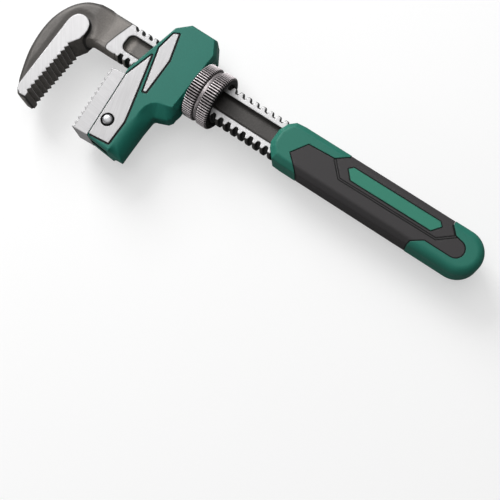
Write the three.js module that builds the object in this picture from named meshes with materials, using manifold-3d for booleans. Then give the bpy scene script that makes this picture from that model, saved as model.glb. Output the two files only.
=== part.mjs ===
// Adjustable pipe wrench with a forged hook jaw, a sliding heel jaw and a moulded two-colour grip.
// Millimetres. X runs along the handle towards the grip, Y towards the back of the wrench and
// Z up through its thickness. While it is being built, the thread's axis is the X axis and the
// adjusting nut's rear face is at X = 0. The finished wrench is moved so that its origin is the
// middle of the bottom of its bounding box.
import * as THREE from 'three';
import { mergeVertices } from 'three/addons/utils/BufferGeometryUtils.js';
import Module from 'manifold-3d';

const wasm = await Module();
wasm.setup();

// ---- driving dimensions ----------------------------------------------------------------

const GAP = 0.3;                    // running and assembly clearance between pieces
const BEYOND = 1;                   // how far a cutter runs past the material that it cuts

const SHANK_HALF_THICKNESS = 5.25;
const CREST_RADIUS = 11.6;          // thread crests on the two narrow edges of the shank
const ROOT_RADIUS = 10.1;
const THREAD_PITCH = 5;             // right-hand, single start
const GROOVE_ROOT_HALF_WIDTH = 0.75;
const GROOVE_CREST_HALF_WIDTH = 1.45;
const GROOVE_CENTRE_X = -0.76;      // where the groove crosses the back edge at Z = 0
const THREAD_START_X = -66;
const THREAD_END_X = 44;
const STEPS_PER_TURN = 24;
const POCKET_START_X = -67;
const POCKET_END_X = 46;
const POCKET_HALF_WIDTH = 5.5;
const POCKET_DEPTH = 3;
const POCKET_DRAFT = 1.1;           // how far a pocket wall leans in over its depth
const TANG_END_X = 140;
const TANG_HALF_WIDTH = 9;

const JAW_HALF_THICKNESS = 9.1;     // hook pad and heel jaw insert
const HOOK_FORGING_HALF_THICKNESS = 7.6;
const HOOK_TOOTH_COUNT = 12;
const INSERT_TOOTH_COUNT = 12;
const TOOTH_DEPTH = 1.5;

const HOUSING_HALF_THICKNESS = 9.1;
const LAND_HALF_THICKNESS = 9.4;    // ground lands stand just proud of the paint
const HOUSING_REAR_X = -17.3;
const NECK_RADIUS = 13.5;           // collar of the housing that the nut turns on

const NUT_LENGTH = 17;
const NUT_RADIUS = 16.5;
const NUT_GROOVE_RADIUS = 15.2;
const NUT_BAND_LENGTH = 6.8;
const NUT_CHAMFER = 1;
const KNURL_RIDGES = 48;
const KNURL_DEPTH = 0.5;
const RING_WIDTH = 1.2;
const RING_INNER_RADIUS = 12.9;
const RING_OUTER_RADIUS = 14.7;
const RING_X = -13.6;
const RING_SPLIT_DEG = 24;

const SLOT_HALF_WIDTH = 3;          // mortise in the housing for the insert's tenon
const PIN_X = -45.1;
const PIN_Y = -44.9;
const PIN_RADIUS = 2.5;
const PIN_HEAD_RADIUS = 3.4;
const PIN_HEAD_HEIGHT = 1.2;

const SPRING_THICKNESS = 0.6;
const SPRING_HALF_WIDTH = 2.6;
const SPRING_BOW = 0.7;
const SPRING_START_X = -44;
const SPRING_END_X = -22;

const GRIP_START_X = 36.5;
const GRIP_END_X = 166.3;
const GRIP_HALF_WIDTH = 12.9;
const GRIP_HALF_THICKNESS = 10;
const GRIP_EDGE_RADIUS = 5;
const SLEEVE_THICKNESS = 2;

// ---- solids ----------------------------------------------------------------------------

// Turns a closed geometry into a solid that can be joined and cut, with its faces outwards.
function solid(geometry) {
  geometry.deleteAttribute('normal');
  geometry.deleteAttribute('uv');
  const merged = mergeVertices(geometry, 1e-4);
  const vertProperties = new Float32Array(merged.attributes.position.array);
  const triVerts = new Uint32Array(merged.index.array);
  const body = new wasm.Manifold(new wasm.Mesh({ numProp: 3, vertProperties, triVerts }));
  if (body.volume() > 0) return body;
  triVerts.reverse();
  return new wasm.Manifold(new wasm.Mesh({ numProp: 3, vertProperties, triVerts }));
}

// Turns a solid back into a named mesh with its own material.
function piece(name, body, { color, roughness, metalness }) {
  const { vertProperties, triVerts } = body.getMesh();
  const geometry = new THREE.BufferGeometry();
  geometry.setAttribute('position', new THREE.BufferAttribute(vertProperties, 3));
  geometry.setIndex(new THREE.BufferAttribute(triVerts, 1));
  geometry.computeVertexNormals();
  const material = new THREE.MeshStandardMaterial({ color, roughness, metalness });
  const mesh = new THREE.Mesh(geometry, material);
  mesh.name = name;
  return mesh;
}

function outline(points) {
  return new THREE.Shape(points.map(([x, y]) => new THREE.Vector2(x, y)));
}

// A flat plate of the given outline between two heights.
function plate(points, low, high) {
  const options = { depth: high - low, bevelEnabled: false };
  return solid(new THREE.ExtrudeGeometry(outline(points), options).translate(0, 0, low));
}

// A plate centred on Z = 0 whose rims are rounded inwards, or bevelled with one segment.
function easedPlate(points, halfThickness, inset, drop, segments) {
  const options = {
    depth: 2 * (halfThickness - drop),
    bevelEnabled: true,
    bevelThickness: drop,
    bevelSize: inset,
    bevelOffset: -inset,
    bevelSegments: segments,
  };
  const geometry = new THREE.ExtrudeGeometry(outline(points), options);
  return solid(geometry.translate(0, 0, drop - halfThickness));
}

function block([x0, y0, z0], [x1, y1, z1]) {
  const geometry = new THREE.BoxGeometry(x1 - x0, y1 - y0, z1 - z0);
  return solid(geometry.translate((x0 + x1) / 2, (y0 + y1) / 2, (z0 + z1) / 2));
}

// A round bar along X.
function bar(radius, x0, x1, sides) {
  const geometry = new THREE.CylinderGeometry(radius, radius, x1 - x0, sides);
  return solid(geometry.rotateZ(Math.PI / 2).translate((x0 + x1) / 2, 0, 0));
}

// A turned solid about X, from a closed profile of [radius, x] points.
function turned(profile, sides) {
  const points = [...profile, profile[0]].map(([r, x]) => new THREE.Vector2(r, x));
  return solid(new THREE.LatheGeometry(points, sides).rotateZ(-Math.PI / 2));
}

// Mirrors a solid to the other side of the middle plane and joins the two.
function bothSides(body) {
  return body.add(body.mirror([0, 0, 1]));
}

// Moves every edge of a closed anticlockwise outline outwards by a distance.
function offset(points, distance) {
  const count = points.length;
  return points.map(([x, y], i) => {
    const [px, py] = points[(i + count - 1) % count];
    const [nx, ny] = points[(i + 1) % count];
    const before = new THREE.Vector2(x - px, y - py).normalize();
    const after = new THREE.Vector2(nx - x, ny - y).normalize();
    const scale = distance / (1 + before.dot(after));
    return [x + scale * (before.y + after.y), y - scale * (before.x + after.x)];
  });
}

function mix(a, b, t) {
  return a + (b - a) * t;
}

// A row of saw teeth from one point to another. Each tip leans towards the start of the row,
// and depth is measured to the left of the row's direction.
function sawTeeth([x0, y0], [x1, y1], count, depth, lean) {
  const length = Math.hypot(x1 - x0, y1 - y0);
  const [leftX, leftY] = [(y0 - y1) / length, (x1 - x0) / length];
  const points = [];
  for (let i = 0; i < count; i++) {
    const tip = i / count;
    const valley = (i + lean) / count;
    points.push([mix(x0, x1, tip), mix(y0, y1, tip)]);
    points.push([mix(x0, x1, valley) + leftX * depth, mix(y0, y1, valley) + leftY * depth]);
  }
  points.push([x1, y1]);
  return points;
}

// The path of a screw thread about X. A section that is swept along it keeps its first
// coordinate radial and its second along X.
class Helix extends THREE.Curve {
  constructor(radius, startX, endX, zeroX) {
    super();
    Object.assign(this, { radius, startX, endX, zeroX });
  }

  place(t) {
    const x = mix(this.startX, this.endX, t);
    const angle = 2 * Math.PI * (x - this.zeroX) / THREAD_PITCH;
    return { x, y: Math.cos(angle), z: Math.sin(angle) };
  }

  getPoint(t, target = new THREE.Vector3()) {
    const { x, y, z } = this.place(t);
    return target.set(x, this.radius * y, this.radius * z);
  }

  computeFrenetFrames(steps) {
    const frames = { tangents: [], normals: [], binormals: [] };
    for (let i = 0; i <= steps; i++) {
      const { y, z } = this.place(i / steps);
      frames.tangents.push(new THREE.Vector3(0, -z, y));
      frames.normals.push(new THREE.Vector3(0, y, z));
      frames.binormals.push(new THREE.Vector3(1, 0, 0));
    }
    return frames;
  }
}

// A helical groove swept from a section of [radius, x] points.
function threadGroove(section, startX, endX, centreX) {
  const steps = Math.round(STEPS_PER_TURN * (endX - startX) / THREAD_PITCH);
  const shape = outline(section.map(([r, x]) => [r - ROOT_RADIUS, x]));
  const extrudePath = new Helix(ROOT_RADIUS, startX, endX, centreX);
  return solid(new THREE.ExtrudeGeometry(shape, { steps, extrudePath }));
}

// Half the width of the shank's groove at a radius.
function grooveHalfWidth(radius) {
  const t = (radius - ROOT_RADIUS) / (CREST_RADIUS - ROOT_RADIUS);
  return mix(GROOVE_ROOT_HALF_WIDTH, GROOVE_CREST_HALF_WIDTH, t);
}

// ---- hook jaw and shank ----------------------------------------------------------------

// The hook's back as a smooth line from the top of the shank round to the tip.
function hookBack() {
  const points = [[-92, 11], [-100.2, 7.6], [-107, 0.5], [-111.4, -10], [-112.4, -22],
    [-110.4, -36], [-105.5, -50], [-101.8, -58]];
  const curve = new THREE.CatmullRomCurve3(points.map(([x, y]) => new THREE.Vector3(x, y, 0)));
  return curve.getPoints(24).map(({ x, y }) => [x, y]);
}

const HOOK_TOOTH_TOP = [-90.4, -18.4];
const HOOK_TOOTH_END = [-92.8, -56.7];

// The space in front of the hook's teeth and in its throat.
function mouthSpace() {
  const teeth = sawTeeth(HOOK_TOOTH_TOP, HOOK_TOOTH_END, HOOK_TOOTH_COUNT, -TOOTH_DEPTH, 0.7);
  const throat = [[-60, -75], [-60, -12], [-84.5, -12], [-87.4, -14], [-89.4, -16.6]];
  const points = [...throat, ...teeth, [-92.6, -58.4], [-92.6, -75]];
  return plate(points.reverse(), -JAW_HALF_THICKNESS - BEYOND, JAW_HALF_THICKNESS + BEYOND);
}

function hookForging() {
  const back = hookBack();
  const front = [[-99.2, -61], [-96, -62], [-86, -62], [-84, -50], [-84, -12], [-79, -11.6],
    [-79, 11]];
  const body = easedPlate([...back, ...front], HOOK_FORGING_HALF_THICKNESS, 4, 4.5, 3);
  const neck = new THREE.ExtrudeGeometry(
    outline([[-120, -8], [-88, -7.6], [-79, -SHANK_HALF_THICKNESS], [-60, -SHANK_HALF_THICKNESS],
      [-60, SHANK_HALF_THICKNESS], [-79, SHANK_HALF_THICKNESS], [-88, 7.6], [-120, 8]]),
    { depth: 90, bevelEnabled: false },
  ).rotateX(Math.PI / 2).translate(0, 20, 0);
  return body.intersect(solid(neck));
}

// The ground pad that stands on each side of the hook.
function hookPad() {
  const points = [[-99, -58.6], [-96.5, -60], [-92, -59.6], [-89, -40], [-87.6, -15],
    [-87.6, -8], [-89.3, -4.4], [-92, -2.3], [-95, -1.5], [-98, -2.8], [-100.2, -5.5],
    [-101, -9], [-100.6, -55.5]];
  return plate(points, -JAW_HALF_THICKNESS, JAW_HALF_THICKNESS);
}

function pocket() {
  const right = POCKET_END_X;
  const left = POCKET_START_X;
  const w = POCKET_HALF_WIDTH;
  const points = [[left, -w + 4], [left + 1.2, -w + 1.2], [left + 4, -w], [right - 2, -w],
    [right, -w + 2], [right, w - 2], [right - 2, w], [left + 4, w], [left + 1.2, w - 1.2],
    [left, w - 4]];
  const options = {
    depth: BEYOND,
    bevelEnabled: true,
    bevelThickness: POCKET_DEPTH,
    bevelSize: POCKET_DRAFT,
    bevelOffset: -POCKET_DRAFT,
    bevelSegments: 1,
  };
  const cutter = solid(new THREE.ExtrudeGeometry(outline(points), options));
  return bothSides(cutter.translate([0, 0, SHANK_HALF_THICKNESS]));
}

function shank() {
  const endX = THREAD_END_X;
  const slab = block([-86, -20, -SHANK_HALF_THICKNESS], [endX, 20, SHANK_HALF_THICKNESS]);
  const rounded = slab.intersect(bar(CREST_RADIUS, -86, endX, 72));
  const groove = [
    [ROOT_RADIUS, -GROOVE_ROOT_HALF_WIDTH],
    [CREST_RADIUS + BEYOND, -grooveHalfWidth(CREST_RADIUS + BEYOND)],
    [CREST_RADIUS + BEYOND, grooveHalfWidth(CREST_RADIUS + BEYOND)],
    [ROOT_RADIUS, GROOVE_ROOT_HALF_WIDTH],
  ];
  const grooves = threadGroove(groove, THREAD_START_X - 1.5, endX + 3, GROOVE_CENTRE_X);
  const tang = block(
    [endX - BEYOND, -TANG_HALF_WIDTH, -SHANK_HALF_THICKNESS],
    [TANG_END_X, TANG_HALF_WIDTH, SHANK_HALF_THICKNESS],
  );
  return rounded.subtract(grooves).add(tang);
}

function hookJaw() {
  const jaw = hookForging().add(hookPad()).subtract(mouthSpace());
  return jaw.add(shank()).subtract(pocket());
}

// ---- sliding jaw housing ---------------------------------------------------------------

const JOINT_TOP = [-52.9, -17.3];   // the line where the insert meets the housing
const JOINT_END = [-49.2, -58.3];
const ELBOW = [-24.8, -30.4];       // centre of the hollow between the body and the arm
const ELBOW_RADIUS = 2;
const ELBOW_FACE_RADIUS = 8.3;

// A cutter that bevels one edge of the housing, from inset on the face to drop on the side.
// It runs past the edge's start and end by the given lengths.
function bevelCutter([ax, ay], [bx, by], inset, drop, pastStart, pastEnd) {
  const along = new THREE.Vector3(bx - ax, by - ay, 0);
  const length = along.length() + pastStart + pastEnd;
  along.normalize();
  const inward = new THREE.Vector3(-along.y, along.x, 0);
  const up = new THREE.Vector3(0, 0, 1);
  const section = outline([
    [-BEYOND, -drop - BEYOND * drop / inset],
    [inset + BEYOND * inset / drop, BEYOND],
    [-BEYOND, BEYOND],
  ]);
  const frame = new THREE.Matrix4().makeBasis(inward, up, along);
  const geometry = new THREE.ExtrudeGeometry(section, { depth: length, bevelEnabled: false });
  geometry.translate(0, 0, -pastStart).applyMatrix4(frame);
  return solid(geometry.translate(ax, ay, HOUSING_HALF_THICKNESS));
}

function elbowHollow() {
  const points = [];
  for (let i = 0; i <= 8; i++) {
    const angle = Math.PI * (0.5 + i / 16);
    points.push([ELBOW[0] + ELBOW_RADIUS * Math.cos(angle),
      ELBOW[1] + ELBOW_RADIUS * Math.sin(angle)]);
  }
  return points;
}

const HOUSING_OUTLINE = [
  JOINT_END, [-34, -59.6], [-26.4, -59.4], ...elbowHollow().reverse(), [-18.9, -26],
  [HOUSING_REAR_X, -23.6], [HOUSING_REAR_X, 19.8], [-22.5, 28.2], [-40, 28.4], [-47.4, 21.6],
  [-55, -12.5], [-55, -17.1], JOINT_TOP,
];

function housingBody() {
  const points = HOUSING_OUTLINE;
  let body = plate(points, -HOUSING_HALF_THICKNESS, HOUSING_HALF_THICKNESS);
  const bevels = [
    [[-26.4, -59.4], [-26.8, -30.4], 8.8, 5.2, 5, 0],
    [[-26.4, -59.4], [-26.8, -30.4], 4.4, 8, 5, 0],
    [[-24.8, -28.4], [-18.9, -26], 5.2, 5, 0, 5],
    [[-18.9, -26], [HOUSING_REAR_X, -23.6], 4.4, 5, 5, 5],
    [[HOUSING_REAR_X, -23.6], [HOUSING_REAR_X, 19.8], 1.8, 3, 5, 5],
    [[HOUSING_REAR_X, 19.8], [-22.5, 28.2], 2, 4, 5, 5],
    [[-22.5, 28.2], [-40, 28.4], 2, 4, 5, 5],
    [[-40, 28.4], [-47.4, 21.6], 2, 4, 5, 5],
    [[-47.4, 21.6], [-55, -12.5], 1.4, 3, 5, 5],
  ];
  for (const [from, to, inset, drop, pastStart, pastEnd] of bevels) {
    const cutter = bevelCutter(from, to, inset, drop, pastStart, pastEnd);
    body = body.subtract(bothSides(cutter));
  }
  return body;
}

// The cone that widens the elbow towards each face.
function elbowCone() {
  const geometry = new THREE.CylinderGeometry(ELBOW_FACE_RADIUS, ELBOW_RADIUS, 6, 32);
  geometry.rotateX(Math.PI / 2).translate(ELBOW[0], ELBOW[1], HOUSING_HALF_THICKNESS - 2.9);
  return bothSides(solid(geometry));
}

function lands() {
  const heel = [[-51.8, -17.6], [-49, -57.2], [-36.5, -55.6], [-36.6, -41], [-38.1, -34.8],
    [-47.5, -0.4]];
  const side = [[-46.4, 5.6], [-38.6, -20.4], [-37, -19.9], [-37.2, 2.3], [-42, 18.4],
    [-44.6, 17]];
  const heelLand = plate(heel, -LAND_HALF_THICKNESS, LAND_HALF_THICKNESS);
  return heelLand.add(plate(side, -LAND_HALF_THICKNESS, LAND_HALF_THICKNESS));
}

// The window that the shank runs through, with a recess at its back for the flat spring.
function shankWindow() {
  const halfThickness = SHANK_HALF_THICKNESS + GAP;
  const rounded = bar(CREST_RADIUS + GAP, -70, 0, 72);
  const slab = block([-70, -20, -halfThickness], [0, 20, halfThickness]);
  const recess = block(
    [SPRING_START_X - GAP, 5, -SPRING_HALF_WIDTH - GAP],
    [SPRING_END_X + GAP, springBack() + GAP, SPRING_HALF_WIDTH + GAP],
  );
  return rounded.intersect(slab).add(recess);
}

function neckCollar() {
  const collar = bar(NECK_RADIUS, -25, -NUT_LENGTH + 6.4, 64);
  const slab = block([-25, -20, -HOUSING_HALF_THICKNESS], [0, 20, HOUSING_HALF_THICKNESS]);
  const groove = turned([[RING_INNER_RADIUS - GAP, RING_X - GAP], [20, RING_X - GAP],
    [20, RING_X + RING_WIDTH + GAP], [RING_INNER_RADIUS - GAP, RING_X + RING_WIDTH + GAP]], 64);
  return collar.intersect(slab).subtract(groove);
}

// The mortise is open at the joint and at the end of the arm.
function tenonOutline() {
  return [[-54, -23], [-49.4, -56], [-38.2, -56], [-38.2, -30], [-44, -23]];
}

function mortise() {
  const halfWidth = SLOT_HALF_WIDTH + GAP;
  const points = [[-56, -22.5], [-52, -62], [-37, -62], [-37, -29.5], [-43.4, -22.5]];
  return plate(points, -halfWidth, halfWidth);
}

function pinHole(radius) {
  const geometry = new THREE.CylinderGeometry(radius, radius, 40, 32).rotateX(Math.PI / 2);
  return solid(geometry.translate(PIN_X, PIN_Y, 0));
}

function jawHousing() {
  const body = housingBody().subtract(elbowCone()).add(lands()).add(neckCollar());
  return body.subtract(shankWindow()).subtract(mortise()).subtract(pinHole(PIN_RADIUS + GAP));
}

// ---- heel jaw insert, pin and flat spring ----------------------------------------------

function heelJawInsert() {
  const tipTop = [-62.4, -19.4];
  const tipEnd = [-59.9, -59];
  const teeth = sawTeeth(tipTop, tipEnd, INSERT_TOOTH_COUNT, TOOTH_DEPTH, 0.45);
  const points = [[JOINT_TOP[0] - GAP, JOINT_TOP[1]], [-61.6, -18.4], ...teeth,
    [JOINT_END[0] - GAP, JOINT_END[1]]];
  const head = plate(points, -JAW_HALF_THICKNESS, JAW_HALF_THICKNESS);
  const tenon = plate(tenonOutline(), -SLOT_HALF_WIDTH, SLOT_HALF_WIDTH);
  return head.add(tenon).subtract(pinHole(PIN_RADIUS + GAP));
}

// A rivet along Z with a low dome on each side of the housing.
function insertPin() {
  const seat = LAND_HALF_THICKNESS + GAP;
  const profile = [[0, 0], [PIN_RADIUS, 0], [PIN_RADIUS, seat], [PIN_HEAD_RADIUS, seat]];
  for (let i = 0; i <= 6; i++) {
    const angle = (i / 6) * Math.PI / 2;
    profile.push([PIN_HEAD_RADIUS * Math.cos(angle),
      seat + 0.3 + (PIN_HEAD_HEIGHT - 0.3) * Math.sin(angle)]);
  }
  const points = profile.map(([r, z]) => new THREE.Vector2(r, z));
  points[points.length - 1].x = 0;
  const half = solid(new THREE.LatheGeometry(points, 32).rotateX(Math.PI / 2));
  return bothSides(half).translate([PIN_X, PIN_Y, 0]);
}

// Height of the spring's back over the thread's axis, where it lies in its recess.
function springBack() {
  return CREST_RADIUS + GAP + SPRING_THICKNESS + SPRING_BOW;
}

// A strip that bows from its recess towards the shank.
function flatSpring() {
  const upper = [];
  const lower = [];
  const length = SPRING_END_X - SPRING_START_X;
  for (let i = 0; i <= 10; i++) {
    const x = SPRING_START_X + length * i / 10;
    const y = springBack() - SPRING_BOW * Math.sin(Math.PI * i / 10);
    upper.unshift([x, y]);
    lower.push([x, y - SPRING_THICKNESS]);
  }
  return plate([...lower, ...upper], -SPRING_HALF_WIDTH, SPRING_HALF_WIDTH);
}

// ---- adjusting nut and its retaining ring ----------------------------------------------

// The outline of a straight-knurled band, seen along X.
function knurlOutline() {
  const points = [];
  for (let i = 0; i < KNURL_RIDGES * 2; i++) {
    const radius = i % 2 ? NUT_RADIUS - KNURL_DEPTH : NUT_RADIUS;
    const angle = Math.PI * i / KNURL_RIDGES;
    points.push([radius * Math.cos(angle), radius * Math.sin(angle)]);
  }
  return outline(points);
}

function knurledBand(startX) {
  const options = { depth: NUT_BAND_LENGTH, bevelEnabled: false };
  const geometry = new THREE.ExtrudeGeometry(knurlOutline(), options);
  return solid(geometry.rotateY(Math.PI / 2).translate(startX, 0, 0));
}

function adjustingNut() {
  const core = bar(NUT_GROOVE_RADIUS, -NUT_LENGTH, 0, 96);
  const bands = knurledBand(-NUT_LENGTH).add(knurledBand(-NUT_BAND_LENGTH));
  const rim = NUT_RADIUS - NUT_CHAMFER;
  const envelope = turned([[0, -NUT_LENGTH], [rim, -NUT_LENGTH],
    [NUT_RADIUS, -NUT_LENGTH + NUT_CHAMFER], [NUT_RADIUS, -NUT_CHAMFER], [rim, 0], [0, 0]], 96);
  const minor = ROOT_RADIUS + GAP;
  const major = CREST_RADIUS + GAP;
  const toothRoom = (radius) => THREAD_PITCH / 2 - grooveHalfWidth(radius) + GAP;
  const groove = [[minor - BEYOND, -toothRoom(minor - BEYOND)], [major, -toothRoom(major)],
    [major, toothRoom(major)], [minor - BEYOND, toothRoom(minor - BEYOND)]];
  const centre = GROOVE_CENTRE_X + THREAD_PITCH / 2;
  const thread = threadGroove(groove, -NUT_LENGTH - 4, 4, centre);
  const counterbore = bar(NECK_RADIUS + GAP, -NUT_LENGTH - BEYOND, -NUT_LENGTH + 7, 64);
  const ringGroove = turned([[RING_INNER_RADIUS, RING_X - GAP], [15, RING_X - GAP],
    [15, RING_X + RING_WIDTH + GAP], [RING_INNER_RADIUS, RING_X + RING_WIDTH + GAP]], 64);
  const mouth = turned([[0, -1.4], [minor, -1.4], [minor + 2.2, BEYOND], [0, BEYOND]], 64);
  let nut = core.add(bands).intersect(envelope);
  nut = nut.subtract(bar(minor, -NUT_LENGTH - BEYOND, BEYOND, 64)).subtract(thread);
  return nut.subtract(counterbore).subtract(ringGroove).subtract(mouth);
}

function nutRetainingRing() {
  const profile = [[RING_INNER_RADIUS, RING_X], [RING_OUTER_RADIUS, RING_X],
    [RING_OUTER_RADIUS, RING_X + RING_WIDTH], [RING_INNER_RADIUS, RING_X + RING_WIDTH]];
  const split = Math.tan(THREE.MathUtils.degToRad(RING_SPLIT_DEG / 2)) * 20;
  const wedge = new THREE.ExtrudeGeometry(outline([[0, 0], [20, -split], [20, split]]), {
    depth: 4,
    bevelEnabled: false,
  }).rotateY(-Math.PI / 2).translate(RING_X + 3, 0, 0);
  return turned(profile, 64).subtract(solid(wedge));
}

// ---- grip ------------------------------------------------------------------------------

function gripOutline() {
  const points = [[48, GRIP_HALF_WIDTH], [42.5, 12.3], [38.8, 9], [GRIP_START_X, 3.5],
    [GRIP_START_X, -4.5], [38.2, -8], [42.5, -12.6], [48, -GRIP_HALF_WIDTH]];
  const centre = GRIP_END_X - GRIP_HALF_WIDTH;
  for (let i = 1; i <= 15; i++) {
    const angle = -Math.PI / 2 + Math.PI * i / 16;
    points.push([centre + GRIP_HALF_WIDTH * Math.cos(angle), GRIP_HALF_WIDTH * Math.sin(angle)]);
  }
  return points;
}

// The face area of the soft black sleeve. It runs over both edges of the grip.
function sleeveOutline() {
  const tongue = [];
  for (let i = 0; i <= 8; i++) {
    const angle = -Math.PI / 2 + Math.PI * i / 8;
    tongue.push([150.5 + 5.2 * Math.cos(angle), -1 + 5.2 * Math.sin(angle)]);
  }
  return [[60, -20], [60, -14.5], [49.5, -5], [55.5, 4.4], [71.7, 5.4], [78, 10.6], [78, 20],
    [143, 20], [143, 9.5], [147.2, 5], ...tongue.reverse(), [135, -6.2], [129, -10.5],
    [127.8, -15], [127.8, -20]].reverse();
}

const INLAY_OUTLINE = [[85.2, -0.5], [135, -0.2], [139, 5], [136.7, 7.2], [83, 7], [80.6, 4.6]];

function gripBody(shrink) {
  const points = offset(gripOutline(), -shrink);
  const half = GRIP_HALF_THICKNESS - shrink;
  return easedPlate(points, half, GRIP_EDGE_RADIUS - shrink, GRIP_EDGE_RADIUS - shrink, 3);
}

function throughPlate(points) {
  return plate(points, -GRIP_HALF_THICKNESS - BEYOND, GRIP_HALF_THICKNESS + BEYOND);
}

function gripSleeve() {
  const area = throughPlate(offset(sleeveOutline(), -GAP));
  const island = throughPlate(offset(INLAY_OUTLINE, GAP));
  return gripBody(0).intersect(area).subtract(gripBody(SLEEVE_THICKNESS)).subtract(island);
}

function gripCore() {
  const outer = gripBody(0);
  const green = outer.subtract(throughPlate(sleeveOutline()));
  const islands = outer.intersect(throughPlate(INLAY_OUTLINE));
  const socket = block(
    [GRIP_START_X - BEYOND, -CREST_RADIUS - GAP, -SHANK_HALF_THICKNESS - GAP],
    [THREAD_END_X + GAP, CREST_RADIUS + GAP, SHANK_HALF_THICKNESS + GAP],
  );
  const tangSocket = block(
    [THREAD_END_X - BEYOND, -TANG_HALF_WIDTH - GAP, -SHANK_HALF_THICKNESS - GAP],
    [TANG_END_X + GAP, TANG_HALF_WIDTH + GAP, SHANK_HALF_THICKNESS + GAP],
  );
  const body = green.add(gripBody(SLEEVE_THICKNESS + GAP)).add(islands);
  return body.subtract(socket).subtract(tangSocket);
}

// ---- assembly --------------------------------------------------------------------------

const FORGED = { color: 0x6b6661, roughness: 0.6, metalness: 0.8 };
const GROUND = { color: 0xd9d8d6, roughness: 0.35, metalness: 1 };
const GREEN_PAINT = { color: 0x2f7f69, roughness: 0.4, metalness: 0 };
const NUT_STEEL = { color: 0x6f6c6b, roughness: 0.4, metalness: 0.9 };
const SPRING_STEEL = { color: 0x8a8a8c, roughness: 0.4, metalness: 0.9 };
const GREEN_PLASTIC = { color: 0x2f8066, roughness: 0.5, metalness: 0 };
const BLACK_RUBBER = { color: 0x3f3d3d, roughness: 0.75, metalness: 0 };

const pieces = [
  piece('hook_jaw', hookJaw(), FORGED),
  piece('jaw_housing', jawHousing(), GREEN_PAINT),
  piece('heel_jaw_insert', heelJawInsert(), GROUND),
  piece('insert_pin', insertPin(), GROUND),
  piece('flat_spring', flatSpring(), SPRING_STEEL),
  piece('adjusting_nut', adjustingNut(), NUT_STEEL),
  piece('nut_retaining_ring', nutRetainingRing(), SPRING_STEEL),
  piece('grip_core', gripCore(), GREEN_PLASTIC),
  piece('grip_sleeve', gripSleeve(), BLACK_RUBBER),
];

const group = new THREE.Group();
group.add(...pieces);
const box = new THREE.Box3().setFromObject(group);
group.position.set(-(box.min.x + box.max.x) / 2, -(box.min.y + box.max.y) / 2, -box.min.z);

export default group;
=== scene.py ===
import math

import bpy
import numpy as np
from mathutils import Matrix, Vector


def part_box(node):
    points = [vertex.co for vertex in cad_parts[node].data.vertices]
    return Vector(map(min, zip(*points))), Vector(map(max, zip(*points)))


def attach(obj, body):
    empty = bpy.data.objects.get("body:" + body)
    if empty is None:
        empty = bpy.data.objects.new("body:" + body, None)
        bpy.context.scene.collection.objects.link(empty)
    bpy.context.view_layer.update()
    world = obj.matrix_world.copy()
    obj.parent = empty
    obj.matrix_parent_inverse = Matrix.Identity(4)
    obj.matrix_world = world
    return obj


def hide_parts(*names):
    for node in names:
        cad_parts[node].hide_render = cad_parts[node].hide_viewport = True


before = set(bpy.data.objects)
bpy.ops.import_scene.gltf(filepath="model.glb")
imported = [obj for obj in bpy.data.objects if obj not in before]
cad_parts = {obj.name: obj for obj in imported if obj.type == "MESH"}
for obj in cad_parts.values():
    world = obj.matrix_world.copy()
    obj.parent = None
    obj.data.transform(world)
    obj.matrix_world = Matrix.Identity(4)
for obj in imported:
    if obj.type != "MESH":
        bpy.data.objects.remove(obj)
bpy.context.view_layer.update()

import openvdb
from mathutils import Matrix, Vector

# An adjustable pipe wrench, lying on its side. Shapes are worked in millimetres: X from the
# adjusting nut's rear face towards the grip, Y towards the wrench's back and Z up, both from
# the axis of the adjusting thread. DATUM is where that point lies in the row frame.
MM = 0.001
nut_low, nut_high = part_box("adjusting_nut")
DATUM = np.array([nut_high.x, (nut_low.y + nut_high.y) / 2, (nut_low.z + nut_high.z) / 2])

# ---- sizes, in millimetres --------------------------------------------------------------

SHANK_HALF = 5.25
FORGED_STEP = 0.12          # forged skin left standing over the ground shank
CREST_RADIUS = 11.6
ROOT_RADIUS = 9.6
THREAD_PITCH = 5.0
GROOVE_CENTRE_X = -0.76
GROOVE_ROOT_HALF = 0.95
GROOVE_CREST_HALF = 1.6
THREAD_START_X = -66.0
THREAD_END_X = 44.0
POCKET = (-67.0, 46.0)
POCKET_HALF_WIDTH = 5.5
POCKET_CORNER = 3.9
RAIL_END_X = 46.0           # where the shank's ground rails end
POCKET_DEPTH = 3.0
POCKET_DRAFT = 0.37         # wall lean for each millimetre of depth
TANG_END_X = 140.0
HOOK_HALF = 7.6
JAW_HALF = 9.1
TOOTH_DEPTH = 1.5
LAND_HALF = 9.4
NECK_RADIUS = 13.5
NUT_RADIUS = 16.5
NUT_LENGTH = 17.0
PIN_AT = (-45.1, -44.9)
PIN_HOLE_RADIUS = 2.8
PIN_SEAT_RADIUS = 3.8       # the dished ring round the rivet's head
PIN_SPOKES = 48
GRIP_HALF = 10.0
GRIP_EDGE = 5.0
SEAM_GAP = 0.06             # between the soft sleeve and the hard shell
LINE_AWAY = 0.55            # how far the scribed line lies from the panel's edge
LINE_HALF = 0.16
SLEEVE_SINK = 0.2           # how far the soft sleeve lies under the hard shell's surface


# ---- carving ----------------------------------------------------------------------------

def outline_distance(points, x, y):
    """Distance of each place from a closed outline, negative inside it."""
    nearest = np.full(np.broadcast(x, y).shape, 1e9, np.float32)
    inside = np.zeros(nearest.shape, bool)
    for (ax, ay), (bx, by) in zip(points, points[1:] + points[:1]):
        ex, ey = bx - ax, by - ay
        t = np.clip(((x - ax) * ex + (y - ay) * ey) / (ex * ex + ey * ey), 0, 1)
        nearest = np.minimum(nearest, (x - ax - t * ex) ** 2 + (y - ay - t * ey) ** 2)
        crosses = (ay > y) != (by > y)
        inside ^= crosses & (x < ax + (y - ay) * ex / (ey if ey else 1e-9))
    return np.where(inside, -1, 1) * np.sqrt(nearest)


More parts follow.
